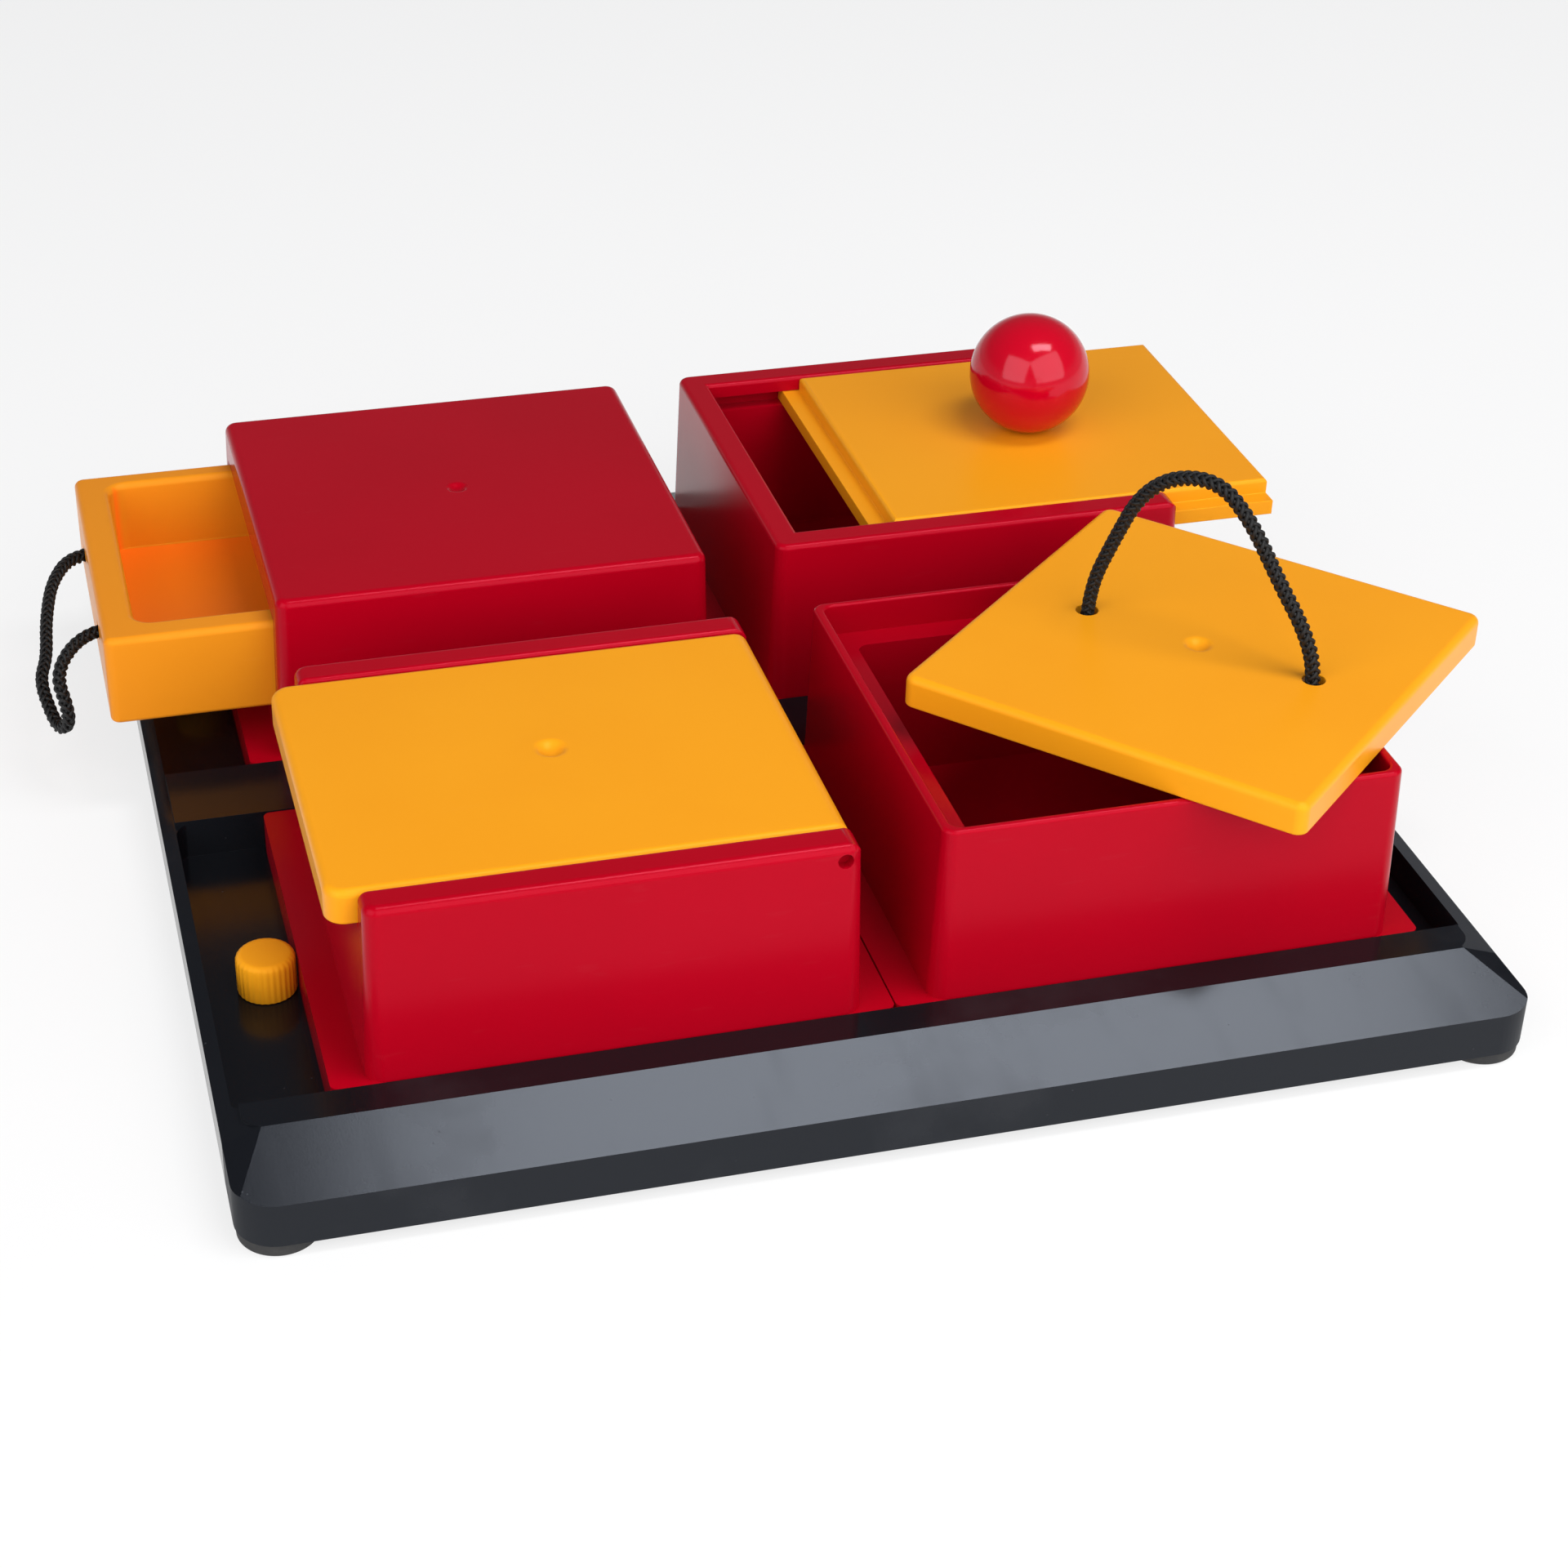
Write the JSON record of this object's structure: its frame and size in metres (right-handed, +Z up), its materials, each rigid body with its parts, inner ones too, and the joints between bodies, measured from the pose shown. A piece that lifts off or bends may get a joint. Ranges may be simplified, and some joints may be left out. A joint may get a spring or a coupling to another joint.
{
  "type": "dog puzzle feeder",
  "caption": "Square black tray carrying red treat boxes with a hinged flap, a lift-off lid with a rope handle, a rope-pull drawer and a sliding lid with a ball knob.",
  "frame": {"origin": "on the floor under the middle of the whole object as it stands, with its drawer and sliding lid part open and its lift-off lid skewed on its box", "axes": "+X to the right, the way the sliding lid pulls out and away from the drawer's pull; +Y to the back; +Z up"},
  "size_m": [0.3547, 0.31, 0.1191],
  "materials": {
    "tray_plastic": "smooth glossy black moulded plastic with faint fingermarks",
    "foot_rubber": "soft black rubber, matt",
    "red_plastic": "satin-gloss red moulded plastic",
    "lid_plastic": "satin yellow-orange moulded plastic",
    "drawer_plastic": "satin orange moulded plastic",
    "ball_plastic": "polished red plastic ball",
    "screw_steel": "plain steel",
    "rope_cord": "black braided cord",
    "lock_plastic": "yellow moulded plastic, knurled side"
  },
  "bodies": {
    "base": {"tray": "tray_plastic", "foot_front_left": "foot_rubber", "foot_front_right": "foot_rubber", "foot_back_left": "foot_rubber", "foot_back_right": "foot_rubber", "flap_box": "red_plastic", "lift_box": "red_plastic", "drawer_box": "red_plastic", "slide_box": "red_plastic", "hinge_pin": "red_plastic"},
    "flap": {"flap_lid": "lid_plastic"},
    "lift": {"lift_lid": "lid_plastic", "lift_rope": "rope_cord", "lift_rope_knots": "rope_cord"},
    "pull_drawer": {"drawer": "drawer_plastic", "drawer_rope": "rope_cord", "drawer_rope_knots": "rope_cord"},
    "slider": {"sliding_lid": "lid_plastic", "ball_knob": "ball_plastic", "knob_screw": "screw_steel"},
    "front_lock": {"front_lock_knob": "lock_plastic"},
    "back_lock": {"back_lock_knob": "lock_plastic"}
  },
  "joints": [
    {"name": "flap_hinge", "type": "hinge", "parent": "base", "child": "flap", "pos_m": [-0.01346, -0.06425, 0.0601], "axis": [0, 1, 0], "range_deg": [0, 105]},
    {"name": "lid_lift", "type": "slide", "parent": "base", "child": "lift", "axis": [0, 0, 1], "range_m": [0, 0.06]},
    {"name": "drawer_slide", "type": "slide", "parent": "base", "child": "pull_drawer", "axis": [-1, 0, 0], "range_m": [-0.043, 0.05]},
    {"name": "lid_slide", "type": "slide", "parent": "base", "child": "slider", "axis": [1, 0, 0], "range_m": [-0.0276, 0.075]},
    {"name": "front_lock_turn", "type": "hinge", "parent": "base", "child": "front_lock", "pos_m": [-0.14126, -0.06425, 0.0125], "axis": [0, 0, 1], "range_deg": [0, 90]},
    {"name": "back_lock_turn", "type": "hinge", "parent": "base", "child": "back_lock", "pos_m": [-0.14126, 0.07845, 0.0125], "axis": [0, 0, 1], "range_deg": [0, 90]}
  ]
}
